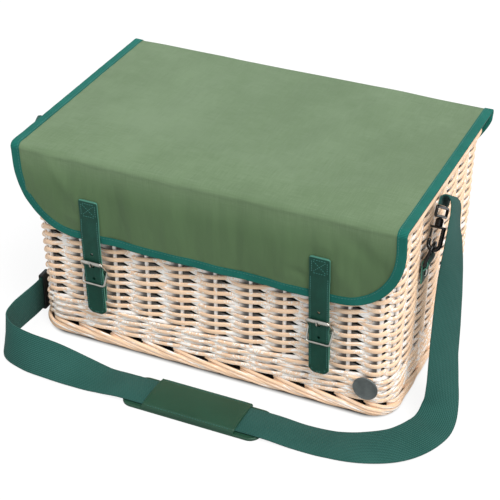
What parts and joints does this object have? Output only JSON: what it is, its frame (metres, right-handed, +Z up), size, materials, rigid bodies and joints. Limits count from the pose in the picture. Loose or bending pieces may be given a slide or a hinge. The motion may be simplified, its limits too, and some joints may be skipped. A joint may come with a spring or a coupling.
{
  "type": "picnic basket",
  "caption": "Rectangular willow picnic basket with a canvas lid, a front flap closed by buckled leather straps, and a padded webbing shoulder strap.",
  "frame": {"origin": "on the ground under the middle of the basket, its lid and its buckles, the shoulder strap not counted", "axes": "+Z up, +X along the long side to the right as seen from the front, the flap and buckles face -Y"},
  "size_m": [0.5271, 0.3464, 0.2382],
  "materials": {
    "willow": "satin, bare peeled willow",
    "whitewashed_willow": "satin, thin white wash",
    "cloth_lining": "matt plain cloth",
    "lid_board": "raw hardboard, hidden",
    "canvas": "matt cotton canvas",
    "binding": "matt woven tape",
    "leather": "semi-matt, grained",
    "silver_metal": "polished nickel plate",
    "black_metal": "gloss black",
    "webbing": "matt ribbed webbing",
    "badge_metal": "matt grey, plain"
  },
  "bodies": {
    "basket": {"foot_border": "willow", "foot_wale": "willow", "wall_weave": "whitewashed_willow", "rim_border": "willow", "corner_stake_front_left": "willow", "corner_stake_front_right": "willow", "corner_stake_back_left": "willow", "corner_stake_back_right": "willow", "base_panel": "willow", "base_stick_1": "willow", "base_stick_2": "willow", "base_stick_3": "willow", "lining": "cloth_lining", "lining_hem": "cloth_lining", "rear_drop": "canvas", "rear_binding_left": "binding", "rear_binding_right": "binding", "left_anchor_strap": "leather", "left_anchor_rivet": "silver_metal", "right_anchor_strap": "leather", "right_anchor_rivet": "silver_metal", "left_ring_tab": "leather", "left_tab_rivet": "silver_metal", "left_ring": "black_metal", "left_hook_body": "black_metal", "left_hook_eye": "black_metal", "right_ring_tab": "leather", "right_tab_rivet": "silver_metal", "right_ring": "black_metal", "right_hook_body": "black_metal", "right_hook_eye": "black_metal", "shoulder_webbing": "webbing", "pad_base": "webbing", "pad_cover": "webbing", "strap_slider": "black_metal", "badge": "badge_metal"},
    "lid": {"lid_lining": "cloth_lining", "lid_board": "lid_board", "lid_canvas": "canvas", "lid_binding_left": "binding", "lid_binding_right": "binding"},
    "flap": {"flap_canvas": "canvas", "flap_binding": "binding", "left_strap_root": "leather", "right_strap_root": "leather"},
    "left_tail": {"left_strap_tail": "leather"},
    "left_buckle": {"left_buckle_frame": "silver_metal"},
    "left_roller": {"left_buckle_roller": "silver_metal"},
    "left_prong": {"left_buckle_prong": "silver_metal"},
    "left_gate": {"left_hook_gate": "black_metal"},
    "right_tail": {"right_strap_tail": "leather"},
    "right_buckle": {"right_buckle_frame": "silver_metal"},
    "right_roller": {"right_buckle_roller": "silver_metal"},
    "right_prong": {"right_buckle_prong": "silver_metal"},
    "right_gate": {"right_hook_gate": "black_metal"}
  },
  "joints": [
    {"name": "lid_hinge", "type": "hinge", "parent": "basket", "child": "lid", "pos_m": [0, 0.13857, 0.2362], "axis": [-1, 0, 0], "range_deg": [0, 235], "deforming": ["left_strap_tail", "right_strap_tail"]},
    {"name": "flap_fold", "type": "hinge", "parent": "lid", "child": "flap", "pos_m": [0, -0.13355, 0.238], "axis": [-1, 0, 0], "range_deg": [0, 225], "deforming": ["left_strap_tail", "right_strap_tail"]},
    {"name": "left_strap_lift", "type": "hinge", "parent": "flap", "child": "left_tail", "pos_m": [-0.128, -0.13336, 0.16561], "axis": [-1, 0, 0], "range_deg": [0, 120], "deforming": ["left_strap_tail"]},
    {"name": "left_buckle_swing", "type": "hinge", "parent": "basket", "child": "left_buckle", "pos_m": [-0.128, -0.12517, 0.09825], "axis": [1, 0, 0], "range_deg": [0, 17], "deforming": ["left_strap_tail"]},
    {"name": "left_roller_spin", "type": "hinge", "parent": "left_buckle", "child": "left_roller", "pos_m": [-0.128, -0.13414, 0.1118], "axis": [1, 0, 0], "continuous": true},
    {"name": "left_prong_swing", "type": "hinge", "parent": "left_buckle", "child": "left_prong", "pos_m": [-0.128, -0.12517, 0.09825], "axis": [1, 0, 0], "range_deg": [0, 100], "deforming": ["left_strap_tail"]},
    {"name": "left_gate_swing", "type": "hinge", "parent": "basket", "child": "left_gate", "pos_m": [-0.21048, -0.05836, 0.18991], "axis": [0, 0.8387, 0.5446], "range_deg": [0, 40], "stiffness_Nm_per_rad": 0.004},
    {"name": "right_strap_lift", "type": "hinge", "parent": "flap", "child": "right_tail", "pos_m": [0.128, -0.13336, 0.16561], "axis": [-1, 0, 0], "range_deg": [0, 120], "deforming": ["right_strap_tail"]},
    {"name": "right_buckle_swing", "type": "hinge", "parent": "basket", "child": "right_buckle", "pos_m": [0.128, -0.12517, 0.09825], "axis": [1, 0, 0], "range_deg": [0, 17], "deforming": ["right_strap_tail"]},
    {"name": "right_roller_spin", "type": "hinge", "parent": "right_buckle", "child": "right_roller", "pos_m": [0.128, -0.13414, 0.1118], "axis": [1, 0, 0], "continuous": true},
    {"name": "right_prong_swing", "type": "hinge", "parent": "right_buckle", "child": "right_prong", "pos_m": [0.128, -0.12517, 0.09825], "axis": [1, 0, 0], "range_deg": [0, 100], "deforming": ["right_strap_tail"]},
    {"name": "right_gate_swing", "type": "hinge", "parent": "basket", "child": "right_gate", "pos_m": [0.21048, -0.0429, 0.18991], "axis": [0, -0.8387, 0.5446], "range_deg": [0, 40], "stiffness_Nm_per_rad": 0.004}
  ]
}
